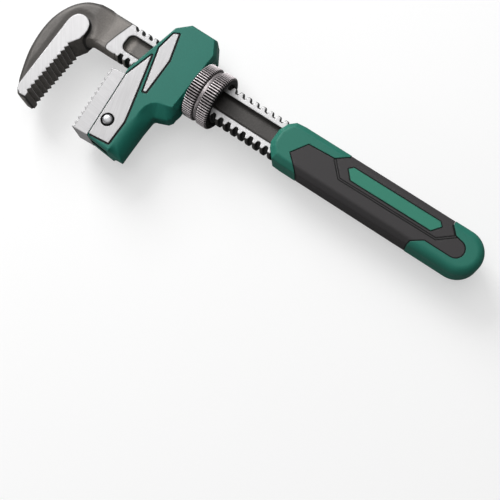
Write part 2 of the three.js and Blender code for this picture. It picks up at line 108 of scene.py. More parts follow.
def line_distance(points, x, y):
    """Distance of each place from an open line."""
    nearest = np.full(np.broadcast(x, y).shape, 1e9, np.float32)
    for (ax, ay), (bx, by) in zip(points, points[1:]):
        ex, ey = bx - ax, by - ay
        t = np.clip(((x - ax) * ex + (y - ay) * ey) / (ex * ex + ey * ey), 0, 1)
        nearest = np.minimum(nearest, (x - ax - t * ex) ** 2 + (y - ay - t * ey) ** 2)
    return np.sqrt(nearest)


def box_distance(x, y, x0, x1, half_width, corner):
    """Distance from a long rounded rectangle centred on the X axis."""
    across = np.abs(y) - half_width + corner
    along = np.abs(x - (x0 + x1) / 2) - (x1 - x0) / 2 + corner
    return np.hypot(np.maximum(along, 0), np.maximum(across, 0)) + np.minimum(
        np.maximum(along, across), 0
    ) - corner


def join(a, b, fillet=0.0):
    """Both solids, with a fillet where they meet."""
    if not fillet:
        return np.minimum(a, b)
    h = np.clip(0.5 + 0.5 * (b - a) / fillet, 0, 1)
    return b + (a - b) * h - fillet * h * (1 - h)


def keep(a, b, fillet=0.0):
    """What both solids share, with its new edges rounded."""
    return -join(-a, -b, fillet)


def cut(a, b, fillet=0.0):
    """The first solid less the second, with its new edges rounded."""
    return keep(a, -b, fillet)


def plate(flat, height, half, rim=0.0):
    """A plate from an outline's distances, its rims rounded to a radius."""
    side = flat[:, :, None] + rim
    top = np.abs(height) - half + rim
    return np.minimum(np.maximum(side, top), 0) + np.hypot(
        np.maximum(side, 0), np.maximum(top, 0)
    ) - rim


def ease(value, start, end):
    """0 before start, 1 after end and smooth between them."""
    t = np.clip((value - start) / (end - start), 0, 1)
    return t * t * (3 - 2 * t)


def curved(points, steps):
    """A smooth line through the points."""
    p = np.array([points[0], *points, points[-1]], float)
    p[0], p[-1] = 2 * p[1] - p[2], 2 * p[-2] - p[-3]
    out = []
    for i in range(1, len(p) - 2):
        for k in range(steps):
            t = k / steps
            a = 2 * p[i]
            b = p[i + 1] - p[i - 1]
            c = 2 * p[i - 1] - 5 * p[i] + 4 * p[i + 1] - p[i + 2]
            d = -p[i - 1] + 3 * p[i] - 3 * p[i + 1] + p[i + 2]
            out.append(tuple(0.5 * (a + b * t + c * t * t + d * t ** 3)))
    return out + [tuple(p[-2])]


def arc(centre, radius, start, end, steps):
    """Points round part of a circle, angles in degrees."""
    turns = np.radians(np.linspace(start, end, steps + 1))
    return [(centre[0] + radius * math.cos(a), centre[1] + radius * math.sin(a)) for a in turns]


def saw_teeth(start, end, count, depth, lean):
    """A row of saw teeth. Valleys lie to the left of the row's direction."""
    (x0, y0), (x1, y1) = start, end
    length = math.hypot(x1 - x0, y1 - y0)
    left = ((y0 - y1) / length, (x1 - x0) / length)
    points = []
    for i in range(count):
        tip, valley = i / count, (i + lean) / count
        points.append((x0 + (x1 - x0) * tip, y0 + (y1 - y0) * tip))
        points.append((
            x0 + (x1 - x0) * valley + left[0] * depth,
            y0 + (y1 - y0) * valley + left[1] * depth,
        ))
    return points + [end]


class Stock:
    """A block of small cells that a piece is carved from."""

    def __init__(self, low, high, cell):
        self.cell = cell
        self.low = np.array(low, float) - 3 * cell
        sides = np.ceil((np.array(high, float) - self.low) / cell).astype(int) + 3
        along = [np.float32(a + cell * np.arange(n)) for a, n in zip(self.low, sides)]
        self.x = along[0][:, None, None]
        self.y = along[1][None, :, None]
        self.z = along[2][None, None, :]
        self.flat = along[0][:, None], along[1][None, :]

    def skin(self, solid):
        """The solid's surface as points in millimetres, faces and how convex each point is."""
        band = 3 * self.cell
        solid = np.clip(solid, -band, band).astype(np.float32)
        grid = openvdb.FloatGrid(band)
        grid.copyFromArray(solid)
        points, triangles, quads = grid.convertToPolygons(isovalue=0.0, adaptivity=0.0)
        soft = solid
        for axis in range(3):
            soft = (np.roll(soft, 2, axis) + 2 * np.roll(soft, 1, axis) + 2 * soft
                    + 2 * np.roll(soft, -1, axis) + np.roll(soft, -2, axis)) / 8
        near = np.clip(np.rint(points).astype(int), 0, np.array(solid.shape) - 1)
        i, j, k = near.T
        convex = (soft[i, j, k] - solid[i, j, k]) / self.cell
        return self.low + points * self.cell, [*triangles.tolist(), *quads.tolist()], convex


def make_piece(name, points, faces, body, node, slot, material, **marks):
    """Adds a piece that rides on a body and stands for a CAD node. Marks are values that its
    finish reads at each point."""
    mesh = bpy.data.meshes.new(name)
    mesh.from_pydata((DATUM + np.asarray(points, float) * MM).tolist(), [], faces)
    if signed_volume(mesh) < 0:
        mesh.flip_normals()
    for mark, values in marks.items():
        made = mesh.attributes.new(mark, "FLOAT", "POINT")
        made.data.foreach_set("value", np.asarray(values, np.float32))
    mesh.shade_smooth()
    mesh.materials.append(material)
    made = bpy.data.objects.new(name, mesh)
    bpy.context.scene.collection.objects.link(made)
    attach(made, body)
    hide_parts(node)
    return made


def signed_volume(mesh):
    """The volume inside a mesh, negative where its faces point inwards."""
    mesh.calc_loop_triangles()
    corners = np.empty(len(mesh.loop_triangles) * 3, np.int32)
    mesh.loop_triangles.foreach_get("vertices", corners)
    places = np.empty(len(mesh.vertices) * 3, np.float32)
    mesh.vertices.foreach_get("co", places)
    a, b, c = places.reshape(-1, 3)[corners].reshape(-1, 3, 3).transpose(1, 0, 2)
    return float(np.einsum("ij,ij->i", a, np.cross(b, c)).sum()) / 6


# ---- finishes ---------------------------------------------------------------------------

def link(tree, source, target):
    tree.links.new(source, target)


def add_node(tree, kind, settings=None, **inputs):
    """A node with its settings and inputs. An input may be a value or another node's socket."""
    node = tree.nodes.new(kind)
    for key, value in (settings or {}).items():
        setattr(node, key, value)
    for key, value in inputs.items():
        socket = node.inputs[int(key[1:])] if key[0] == "i" and key[1:].isdigit() else (
            node.inputs[key.replace("_", " ")])
        if isinstance(value, bpy.types.NodeSocket):
            link(tree, value, socket)
        else:
            socket.default_value = value
    return node


def maths(tree, operation, *values, clamp=False):
    settings = {"operation": operation, "use_clamp": clamp}
    inputs = {f"i{i}": value for i, value in enumerate(values)}
    return add_node(tree, "ShaderNodeMath", settings, **inputs).outputs[0]


def ramp(tree, value, low, high, start=0.0, end=1.0):
    """Moves from start to end as a value goes from low to high."""
    settings = {"interpolation_type": "SMOOTHSTEP"}
    node = add_node(tree, "ShaderNodeMapRange", settings, i0=value, i1=low, i2=high,
                    i3=start, i4=end)
    return node.outputs[0]


def blend(tree, amount, a, b):
    """A colour between two colours."""
    node = add_node(tree, "ShaderNodeMix", {"data_type": "RGBA"})
    for socket, value in ((node.inputs[0], amount), (node.inputs[6], a), (node.inputs[7], b)):
        if isinstance(value, bpy.types.NodeSocket):
            link(tree, value, socket)
        else:
            socket.default_value = value
    return node.outputs[2]


def between(tree, amount, a, b):
    """A number between two numbers."""
    node = add_node(tree, "ShaderNodeMix", {"data_type": "FLOAT"}, i0=amount, i2=a, i3=b)
    return node.outputs[0]


def paint(red, green, blue):
    """A colour from the 0 to 255 values of a colour chart."""
    def linear(v):
        v /= 255
        return v / 12.92 if v <= 0.04045 else ((v + 0.055) / 1.055) ** 2.4
    return (linear(red), linear(green), linear(blue), 1.0)


def effect(name, inputs, outputs):
    """An empty node group with named sockets, which its maker fills."""
    tree = bpy.data.node_groups.new(name, "ShaderNodeTree")
    for label, kind, value in inputs:
        socket = tree.interface.new_socket(label, in_out="INPUT", socket_type=kind)
        if value is not None:
            socket.default_value = value
    for label, kind in outputs:
        tree.interface.new_socket(label, in_out="OUTPUT", socket_type=kind)
    return tree, tree.nodes.new("NodeGroupInput"), tree.nodes.new("NodeGroupOutput")


FLOAT, COLOUR = "NodeSocketFloat", "NodeSocketColor"


def make_brushed():
    """Fine parallel scratches from a grinding belt, on a surface that faces up or down."""
    tree, given, out = effect("Brushed", [
        ("Angle", FLOAT, 0.0), ("Width", FLOAT, 1.0), ("Contrast", FLOAT, 1.0),
    ], [("Shade", FLOAT), ("Height", FLOAT)])
    place = tree.nodes.new("ShaderNodeTexCoord").outputs["Object"]
    turned = add_node(tree, "ShaderNodeVectorRotate", {"rotation_type": "Z_AXIS"},
                      Vector=place, Angle=given.outputs["Angle"]).outputs[0]
    parts = add_node(tree, "ShaderNodeSeparateXYZ", None, i0=turned)
    long_x = maths(tree, "MULTIPLY", parts.outputs[0], 60.0)
    fine = maths(tree, "DIVIDE", 2600.0, given.outputs["Width"])
    across = maths(tree, "MULTIPLY", parts.outputs[1], fine)
    depth = maths(tree, "MULTIPLY", parts.outputs[2], fine)
    stretched = add_node(tree, "ShaderNodeCombineXYZ", None, i0=long_x, i1=across, i2=depth)
    lines = add_node(tree, "ShaderNodeTexNoise", None, Vector=stretched.outputs[0],
                     Scale=1.0, Detail=3.0, Roughness=0.65).outputs[0]
    cloud = add_node(tree, "ShaderNodeTexNoise", None, Vector=place, Scale=90.0,
                     Detail=2.0).outputs[0]
    both = maths(tree, "ADD", maths(tree, "MULTIPLY", lines, 0.8),
                 maths(tree, "MULTIPLY", cloud, 0.2))
    centred = maths(tree, "SUBTRACT", both, 0.5)
    link(tree, maths(tree, "MULTIPLY", centred, given.outputs["Contrast"]), out.inputs["Shade"])
    link(tree, lines, out.inputs["Height"])
    return tree


def make_mottle():
    """Cloudy unevenness at two scales, about zero."""
    tree, given, out = effect("Mottle", [
        ("Scale", FLOAT, 100.0), ("Detail scale", FLOAT, 900.0), ("Detail share", FLOAT, 0.4),
    ], [("Shade", FLOAT)])
    place = tree.nodes.new("ShaderNodeTexCoord").outputs["Object"]
    broad = add_node(tree, "ShaderNodeTexNoise", None, Vector=place,
                     Scale=given.outputs["Scale"], Detail=3.0).outputs[0]
    fine = add_node(tree, "ShaderNodeTexNoise", None, Vector=place,
                    Scale=given.outputs["Detail scale"], Detail=2.0).outputs[0]
    mixed = between(tree, given.outputs["Detail share"], broad, fine)
    link(tree, maths(tree, "SUBTRACT", mixed, 0.5), out.inputs["Shade"])
    return tree


def make_edge_wear():
    """Where corners are rubbed, broken up by a patchy pattern. Convex is the piece's mark."""
    tree, given, out = effect("Edge wear", [
        ("Convex", FLOAT, 0.0), ("Start", FLOAT, 0.2), ("End", FLOAT, 0.5),
        ("Patchiness", FLOAT, 0.5),
    ], [("Mask", FLOAT)])
    place = tree.nodes.new("ShaderNodeTexCoord").outputs["Object"]
    patches = add_node(tree, "ShaderNodeTexNoise", None, Vector=place, Scale=420.0,
                       Detail=4.0, Roughness=0.6).outputs[0]
    worn = ramp(tree, given.outputs["Convex"], given.outputs["Start"], given.outputs["End"])
    spots = ramp(tree, patches, 0.42, 0.58)
    kept = between(tree, given.outputs["Patchiness"], 1.0, spots)
    link(tree, maths(tree, "MULTIPLY", worn, kept), out.inputs["Mask"])
    return tree


def make_shaded():
    """A colour made lighter or darker by a shade about zero."""
    tree, given, out = effect("Shaded", [
        ("Color", COLOUR, None), ("Shade", FLOAT, 0.0), ("Strength", FLOAT, 1.0),
    ], [("Color", COLOUR)])
    gain = maths(tree, "ADD", 1.0, maths(
        tree, "MULTIPLY", given.outputs["Shade"], given.outputs["Strength"]))
    scaled = add_node(tree, "ShaderNodeVectorMath", {"operation": "SCALE"})
    link(tree, given.outputs["Color"], scaled.inputs[0])
    link(tree, gain, scaled.inputs["Scale"])
    link(tree, scaled.outputs[0], out.inputs["Color"])
    return tree


BRUSHED, MOTTLE = make_brushed(), make_mottle()
EDGE_WEAR, SHADED = make_edge_wear(), make_shaded()


def use(tree, group, **inputs):
    """Places a node group. Underscores in an input's name stand for spaces."""
    node = tree.nodes.new("ShaderNodeGroup")
    node.node_tree = group
    for key, value in inputs.items():
        socket = node.inputs[key.replace("_", " ")]
        if isinstance(value, bpy.types.NodeSocket):
            link(tree, value, socket)
        else:
            socket.default_value = value
    return node.outputs


def mark(tree, name):
    """A value that the piece holds at each point."""
    node = tree.nodes.new("ShaderNodeAttribute")
    node.attribute_name = name
    return node.outputs["Fac"]


def new_finish(name, **fixed):
    """A material and its shader, with the values that are the same all over."""
    material = bpy.data.materials.new(name)
    material.use_nodes = True
    shader = material.node_tree.nodes["Principled BSDF"]
    for key, value in fixed.items():
        shader.inputs[key.replace("_", " ")].default_value = value
    return material, material.node_tree, shader


def dress(tree, shader, colour, roughness, metallic=None, height=None, bump=0.1, distance=0.0001):
    """Feeds the shader its colour, roughness, metal and bumps."""
    link(tree, colour, shader.inputs["Base Color"])
    if roughness is not None:
        link(tree, roughness, shader.inputs["Roughness"])
    if metallic is not None:
        link(tree, metallic, shader.inputs["Metallic"])
    if height is not None:
        bumps = add_node(tree, "ShaderNodeBump", None, Strength=bump, Distance=distance,
                         Height=height)
        link(tree, bumps.outputs[0], shader.inputs["Normal"])


SILVER = paint(188, 187, 188)
# Near-black for painted shade: each finish blends towards it where its shadow mark is set.
PAINTED_SHADE = paint(16, 18, 17)


def ground_colour(tree, angle, contrast=0.5, base=SILVER):
    brushed = use(tree, BRUSHED, Angle=angle, Width=1.0, Contrast=contrast)
    return use(tree, SHADED, Color=base, Shade=brushed["Shade"], Strength=1.0)["Color"], brushed


def forged_steel():
    """Dark forged oxide with bright ground faces, with painted shade and painted light from the
    marks.
    """
    material, tree, shader = new_finish("forged_steel")
    # The ground mark also brings in a painted highlight on the tooth crests.
    bright = ramp(tree, mark(tree, "ground"), 0.0, 0.12)
    edge = use(tree, EDGE_WEAR, Convex=mark(tree, "convex"), Start=0.25, End=0.7, Patchiness=0.6)
    skin = use(tree, MOTTLE, Scale=70.0, Detail_scale=1100.0, Detail_share=0.45)
    # The tone mark mixes the skin's own lighter and darker parts with painted shade and painted
    # light.
    dark = blend(tree, mark(tree, "tone"), paint(56, 54, 53), paint(132, 127, 122))
    oxide = use(tree, SHADED, Color=dark, Shade=skin["Shade"], Strength=1.3)["Color"]
    rubbed = blend(tree, maths(tree, "MULTIPLY", edge["Mask"], 0.35), oxide, paint(150, 147, 143))
    metal_tone = blend(tree, mark(tree, "tone"), SILVER, paint(212, 211, 212))
    silver, brushed = ground_colour(tree, 0.9, 0.5, metal_tone)
    colour = blend(tree, bright, rubbed, silver)
    # Painted shade where the shadow mark is set.
    colour = blend(tree, mark(tree, "shadow"), colour, PAINTED_SHADE)
    rough = between(tree, bright, 0.52, 0.42)
    metal = between(tree, bright, 0.35, 0.25)
    height = between(tree, bright, maths(tree, "MULTIPLY", skin["Shade"], 3.0), brushed["Height"])
    dress(tree, shader, colour, rough, metal, height, 0.35, 0.00012)
    return material


def housing_enamel():
    """Satin green enamel over a casting, with two ground lands on each face."""
    material, tree, shader = new_finish("housing_enamel", Specular_IOR_Level=0.22)
    land = mark(tree, "land")
    bright = ramp(tree, land, 0.0, 0.12)
    edge = use(tree, EDGE_WEAR, Convex=mark(tree, "convex"), Start=0.3, End=0.9, Patchiness=0.5)
    peel = use(tree, MOTTLE, Scale=60.0, Detail_scale=700.0, Detail_share=0.5)
    green = use(tree, SHADED, Color=paint(34, 113, 99), Shade=peel["Shade"], Strength=0.25)
    rubbed = blend(tree, maths(tree, "MULTIPLY", edge["Mask"], 0.3), green["Color"],
                   paint(100, 160, 142))
    silver, brushed = ground_colour(tree, 1.25)
    colour = blend(tree, bright, rubbed, silver)
    # Painted shade in the land trenches, the rivet's seat, the mortise and the window.
    colour = blend(tree, mark(tree, "shadow"), colour, PAINTED_SHADE)
    rough = between(tree, bright, 0.45, 0.42)
    metal = between(tree, bright, 0.0, 0.25)
    height = between(tree, bright, peel["Shade"], brushed["Height"])
    dress(tree, shader, colour, rough, metal, height, 0.25, 0.00012)
    return material


def ground_steel():
    """Bright ground steel, belt-finished across the piece."""
    material, tree, shader = new_finish("ground_steel", Metallic=0.25, Roughness=0.36)
    silver, brushed = ground_colour(tree, 0.1, 0.45)
    edge = use(tree, EDGE_WEAR, Convex=mark(tree, "convex"), Start=0.2, End=0.6, Patchiness=0.2)
    colour = blend(tree, maths(tree, "MULTIPLY", edge["Mask"], 0.5), silver, paint(205, 205, 205))
    # Painted shade from the shadow mark.
    colour = blend(tree, mark(tree, "shadow"), colour, PAINTED_SHADE)
    dress(tree, shader, colour, None, None, brushed["Height"], 0.25, 0.0001)
    return material


def rivet_steel():
    """A polished, slightly hammered rivet head."""
    material, tree, shader = new_finish("rivet_steel", Metallic=0.8, Roughness=0.38)
    dents = use(tree, MOTTLE, Scale=350.0, Detail_scale=2200.0, Detail_share=0.4)
    colour = use(tree, SHADED, Color=paint(168, 168, 170), Shade=dents["Shade"], Strength=0.6)
    # Painted shade on the flange ring.
    colour = blend(tree, mark(tree, "shadow"), colour["Color"], PAINTED_SHADE)
    dress(tree, shader, colour, None, None, dents["Shade"], 0.5, 0.0002)
    return material


def nut_gunmetal():
    """Black-nickel steel, worn bright on the knurl's ridges and on the plain band."""
    material, tree, shader = new_finish("nut_gunmetal", Metallic=0.85)
    worn = mark(tree, "worn")
    skin = use(tree, MOTTLE, Scale=160.0, Detail_scale=1500.0, Detail_share=0.5)
    patchy = maths(tree, "ADD", worn, maths(tree, "MULTIPLY", skin["Shade"], 0.5))
    bright = ramp(tree, patchy, 0.35, 0.65)
    colour = blend(tree, bright, paint(34, 32, 34), paint(206, 198, 200))
    colour = use(tree, SHADED, Color=colour, Shade=skin["Shade"], Strength=0.5)["Color"]
    # Painted shade from the shadow mark.
    colour = blend(tree, mark(tree, "shadow"), colour, PAINTED_SHADE)
    rough = between(tree, bright, 0.55, 0.42)
    dress(tree, shader, colour, rough, None, skin["Shade"], 0.3, 0.0001)
    return material


def spring_steel():
    """Blued spring steel."""
    material, tree, shader = new_finish("spring_steel", Metallic=0.9)
    silver, brushed = ground_colour(tree, 0.0, 0.6, paint(96, 98, 106))
    rough = maths(tree, "ADD", 0.35, maths(tree, "MULTIPLY", brushed["Shade"], 0.3))
    dress(tree, shader, silver, rough, None, brushed["Height"], 0.2, 0.00005)
    return material


def grip_green():
    """Hard moulded plastic with a fine spark-eroded grain."""
    material, tree, shader = new_finish("grip_green", Specular_IOR_Level=0.22)
    grain = use(tree, MOTTLE, Scale=50.0, Detail_scale=2600.0, Detail_share=0.7)
    green = blend(tree, mark(tree, "inlay"), paint(43, 117, 101), paint(54, 131, 110))
    colour = use(tree, SHADED, Color=green, Shade=grain["Shade"], Strength=0.3)
    edge = use(tree, EDGE_WEAR, Convex=mark(tree, "convex"), Start=0.25, End=0.8, Patchiness=0.4)
    rubbed = blend(tree, maths(tree, "MULTIPLY", edge["Mask"], 0.3), colour["Color"],
                   paint(96, 160, 140))
    # Painted shade along the seams and inside the socket. From here rubbed holds wear and painted
    # shade.
    rubbed = blend(tree, mark(tree, "shadow"), rubbed, PAINTED_SHADE)
    rough = maths(tree, "ADD", 0.5, maths(tree, "MULTIPLY", grain["Shade"], 0.25))
    dress(tree, shader, rubbed, rough, None, grain["Shade"], 0.3, 0.00012)
    return material


def grip_black():
    """Soft-touch rubber with a fine grain."""
    material, tree, shader = new_finish("grip_black", Specular_IOR_Level=0.3)
    grain = use(tree, MOTTLE, Scale=60.0, Detail_scale=3000.0, Detail_share=0.75)
    colour = use(tree, SHADED, Color=paint(62, 60, 61), Shade=grain["Shade"], Strength=0.25)
    # Painted shade in the scribed line and along the seams.
    colour = blend(tree, mark(tree, "shadow"), colour["Color"], PAINTED_SHADE)
    rough = maths(tree, "ADD", 0.68, maths(tree, "MULTIPLY", grain["Shade"], 0.3))
    dress(tree, shader, colour, rough, None, grain["Shade"], 0.45, 0.00015)
    return material


# ---- hook jaw and shank -----------------------------------------------------------------

HOOK_BACK = curved([(-92, 11), (-100.2, 7.6), (-107, 0.5), (-111.4, -10), (-112.4, -22),
                    (-110.4, -36), (-105.5, -50), (-101.8, -58)], 5)
HOOK_OUTLINE = HOOK_BACK + [(-99.2, -61), (-96, -62), (-80, -62), (-80, -11.6), (-60, -11.6),
                            (-60, 11.6), (-86, 11.6)]
HOOK_PAD = [(-99, -58.6), (-96.5, -60), (-92, -59.6), (-89, -40), (-87.8, -18), (-87.3, -12),
            *curved([(-87.4, -8), (-88.8, -4.4), (-91.6, -2.1), (-95, -1.5), (-98.2, -2.6),
                     (-100.3, -5.4), (-101, -9)], 4), (-100.6, -55.5)]
HOOK_TEETH = saw_teeth((-90.4, -18.4), (-92.8, -56.7), 12, -TOOTH_DEPTH, 0.7)
MOUTH = [(-60, -80), (-60, -18.4), *HOOK_TEETH, (-92.6, -58.4), (-92.6, -80)]
THROAT = [(-50, -60), (-50, -11.9), (-83, -11.9), (-85.6, -12.7), (-87.6, -14.2),
          (-89.3, -16.6), (-90.4, -18.4), (-90, -60)]
GROUND_START = [(-69.6, 14), (-69.8, 10.3), (-73.1, -0.1), (-74.9, -7.3), (-74.7, -8.8),
                (-74, -10), (-72.8, -10.7), (-65.8, -11.2), (-60, -14), (60, -14), (60, 14)]


def groove_half_width(radius):
    """Half the width of the shank's thread groove at a radius."""
    share = (radius - ROOT_RADIUS) / (CREST_RADIUS - ROOT_RADIUS)
    return GROOVE_ROOT_HALF + (GROOVE_CREST_HALF - GROOVE_ROOT_HALF) * share


def thread_distance(x, y, z):
    """How far along X each place is from the middle of the nearest thread groove."""
    along = x - GROOVE_CENTRE_X - THREAD_PITCH * np.arctan2(z, y) / (2 * math.pi)
    return np.abs(along - THREAD_PITCH * np.rint(along / THREAD_PITCH))


def hook_jaw():
    stock = Stock((-112.6, -62.1, -JAW_HALF), (TANG_END_X, 11.9, JAW_HALF), 0.3)
    x, y, z = stock.x, stock.y, stock.z
    flat_x, flat_y = stock.flat
    pad = outline_distance(HOOK_PAD, flat_x, flat_y)
    half = HOOK_HALF + (SHANK_HALF + FORGED_STEP - HOOK_HALF) * ease(x, -92, -78)
    half = half - 0.9 * ease(-pad, -4.5, -0.3)[:, :, None] * ease(-x, 78, 84)
    outline = outline_distance(HOOK_OUTLINE, flat_x, flat_y)
    forging = plate(outline, z * HOOK_HALF / half, HOOK_HALF, 4.3)
    tip = plate(outline + 0.9, z, HOOK_HALF, 1.6)
    forging = forging + (tip - forging) * ease(-y, 52, 59)
    forging = keep(forging, x + 64)
    throat = plate(outline_distance(THROAT, flat_x, flat_y), z, 20)
    jaw = cut(forging, throat, 3.2)
    jaw = join(jaw, cut(plate(pad, z, JAW_HALF, 0.25), throat, 0.4), 0.5)
    jaw = cut(jaw, plate(outline_distance(MOUTH, flat_x, flat_y), z, 20), 0.2)

    radius = np.hypot(y, z)
    bar = keep(radius - CREST_RADIUS, np.abs(z) - SHANK_HALF, 0.35)
    bar = keep(bar, np.abs(x + 20) - 64.0)
    ground = outline_distance(GROUND_START, flat_x, flat_y)
    jaw = cut(jaw, keep(ground[:, :, None], SHANK_HALF - np.abs(z)), 0.1)
    jaw = keep(jaw, join(radius - CREST_RADIUS - 0.05, x + 88, 6))
    jaw = join(jaw, bar, 0.2)

    run_out = ROOT_RADIUS + 1.8 * ease(-x, -THREAD_START_X - 1.5, -THREAD_START_X + 1.5)
    groove = keep(thread_distance(x, y, z) - groove_half_width(radius), run_out - radius, 0.5)
    groove = keep(groove, THREAD_START_X - 2 - x)
    jaw = cut(jaw, groove, 0.25)
    tang = keep(np.abs(x - (TANG_END_X + THREAD_END_X - 1) / 2)
                - (TANG_END_X - THREAD_END_X + 1) / 2, np.abs(y) - 9 + 0 * z, 1)
    tang = keep(tang, np.abs(z) - SHANK_HALF, 0.5)
    jaw = join(jaw, tang)
    slot = box_distance(flat_x, flat_y, *POCKET, POCKET_HALF_WIDTH, POCKET_CORNER)
    depth = SHANK_HALF - np.abs(z)
    pocket = keep(slot[:, :, None] + POCKET_DRAFT * depth, depth - POCKET_DEPTH, 1.2)
    jaw = cut(jaw, pocket, 0.3)

    points, faces, convex = stock.skin(jaw)
    px, py, pz = points.T.astype(np.float32)
    tall = np.abs(pz)
    on_pad = np.minimum(tall - JAW_HALF + 0.22, -outline_distance(HOOK_PAD, px, py))
    beside_pocket = box_distance(px, py, *POCKET, POCKET_HALF_WIDTH, POCKET_CORNER)
    rail = np.minimum(np.minimum(tall - SHANK_HALF + 0.22,
                                 -outline_distance(GROUND_START, px, py)),
                      np.minimum(beside_pocket, 0.3))
    reach = np.hypot(py, pz)
    in_groove = thread_distance(px, py, pz) < groove_half_width(reach) + 0.1
    in_groove &= (reach < CREST_RADIUS - 0.1) & (reach > ROOT_RADIUS - 0.4)
    in_groove &= (np.abs(py) > 7) & (px > THREAD_START_X - 1.5) & (px < THREAD_END_X)
    # The thread grooves' walls take painted shade and are kept out of the bright rails.
    deep = in_groove & (tall < SHANK_HALF - 0.04)
    rail = np.where((px < RAIL_END_X) & ~deep, rail, -0.5)
    bite = (outline_distance(MOUTH, px, py) < 0.5) & (tall < JAW_HALF - 0.5)
    # A painted highlight along the tooth crests in the mouth, carried by the ground mark.
    crest_glint = np.where(bite, 0.055 * ease(convex, 0.2, 0.45), -1)
    bright = np.maximum(np.maximum(on_pad, rail), crest_glint)
    start = np.abs(outline_distance(GROUND_START, px, py))
    # Painted shade along the line where the ground rails start.
    line = np.where(px < -60, 1 - ease(start, 0.15, 0.45), 0) * (tall > SHANK_HALF - 0.4)
    # The tone mark: the forging's skin lighter towards the neck and at the pocket floor's front
    # end, with painted shade near the outline's rim and beside the pad.
    floor_front = ease(-px, 40, 52) * (np.abs(py) < 5) * (tall < SHANK_HALF - 1)
    tone = 0.27 + 0.36 * ease(px, -93, -82) * (px < -70) + 0.8 * floor_front * (px > -70)
    rim = -outline_distance(HOOK_OUTLINE, px, py)
    beside_pad = outline_distance(HOOK_PAD, px, py)
    tone = tone * (0.3 + 0.7 * ease(rim, 0.4, 3.6)) * (0.45 + 0.55 * ease(beside_pad, 0.2, 1.6))
    # Lighter at the hook's tip. Painted light in the throat and in the mouth, with a painted
    # highlight on the tooth tips.
    tone = np.where((py < -57.5) & (px < -93.5), 1.0, tone)
    tone = np.where(outline_distance(THROAT, px, py) < 1.5, 0.8, tone)
    mouth_light = 0.8 + 0.4 * ease(convex, 0.15, 0.7)
    tone = np.where(outline_distance(MOUTH, px, py) < 0.5, mouth_light, tone)
    tone = np.where(rail > 0, ease(px, -30, 5), np.where(on_pad > 0, 0, tone))
    # Painted shade round the pad's edge and along the pocket's lip.
    line = np.maximum(line, (1 - ease(np.abs(beside_pad - 0.25), 0.25, 0.6)) * (px < -60))
    lip = np.abs(beside_pocket + 0.15)
    on_lip = (px < RAIL_END_X) & (tall > SHANK_HALF - 1)
    line = np.maximum(line, 0.7 * (1 - ease(lip, 0.1, 0.45)) * on_lip)
    # ground holds the ground pads and rails and the painted crest highlight. shadow holds painted
    # shade.
    return make_piece("hook_jaw_forging", points, faces, "handle", "hook_jaw", "forged_steel",
                      FORGED_STEEL, ground=bright, convex=convex, tone=np.clip(tone, 0, 1),
                      shadow=np.clip(line * 0.8 + 0.75 * deep, 0, 1))


# ---- jaw housing ------------------------------------------------------------------------

JOINT_TOP = (-52.9, -17.3)
JOINT_END = (-49.2, -58.3)
ELBOW = (-24.8, -30.4)
ELBOW_RADIUS = 2.0
HOUSING_REAR_X = -17.3
HOUSING = [JOINT_END, (-34, -59.6), (-26.4, -59.4), *arc(ELBOW, ELBOW_RADIUS, 180, 90, 8),
           (-18.9, -26), (HOUSING_REAR_X, -23.6), (HOUSING_REAR_X, 19.8), (-22.5, 28.2),
           (-40, 28.4), (-47.4, 21.6), (-55, -12.5), (-55, -17.1), JOINT_TOP]
HEEL_LAND = [(-52.6, -18), (-49.1, -57), (-36.5, -55.6), (-36.6, -41), (-38.1, -34.8),
             (-47.5, -0.4)]
SIDE_LAND = [(-46.4, 5.6), (-38.6, -20.4), (-37, -19.9), (-37.2, 2.3), (-42, 18.4), (-44.6, 17)]
MORTISE = [(-56, -22.5), (-52, -62), (-37, -62), (-37, -29.5), (-43.4, -22.5)]
# The flat part of each face. Between it and the outline the casting falls away.
HOUSING_FACE = [(-49.2, -64), (-34.2, -64), (-34.4, -46.5), (-34, -39), (-33.2, -34.6),
                (-33.4, -31.3), (-32.7, -27), (-30.6, -23.5), (-27.9, -21.5), (-19.4, -19.2),
                (-18.4, 18.6), (-23.2, 26.6), (-39.2, 26.4), (-45.5, 20.7), (-53.9, -14),
                (-53.6, -17.3), (-52.9, -17.3)]
ARM_END_BEVEL = 57.3        # where the bevel at the arm's end starts
ARM_END_LEAN = 0.0855       # how far the arm's end falls back for each millimetre along X
MORTISE_HALF = 3.3
TENON_HALF = 3.0


def casting_face(x, y, side):
    """How high the casting stands over its middle plane at each place."""
    face = np.maximum(outline_distance(HOUSING_FACE, x, y), 0)
    share = face / np.maximum(face - np.minimum(side, 0), 1e-3)
    arm = ease(-y, 28, 40)
    under = ease(-y, 17, 22) * ease(x, -34, -31)
    crown = 8.2 * (1 - np.sqrt(1 - (0.985 * share) ** 2)) + 1.2 * share
    plain = (3.2 + 2.0 * under) * share
    return JAW_HALF - plain * (1 - arm) - crown * arm


def beyond_joint(x, y):
    """How far each place lies behind the joint between the insert and the housing."""
    share = (y - JOINT_TOP[1]) / (JOINT_END[1] - JOINT_TOP[1])
    return x - JOINT_TOP[0] - (JOINT_END[0] - JOINT_TOP[0]) * share


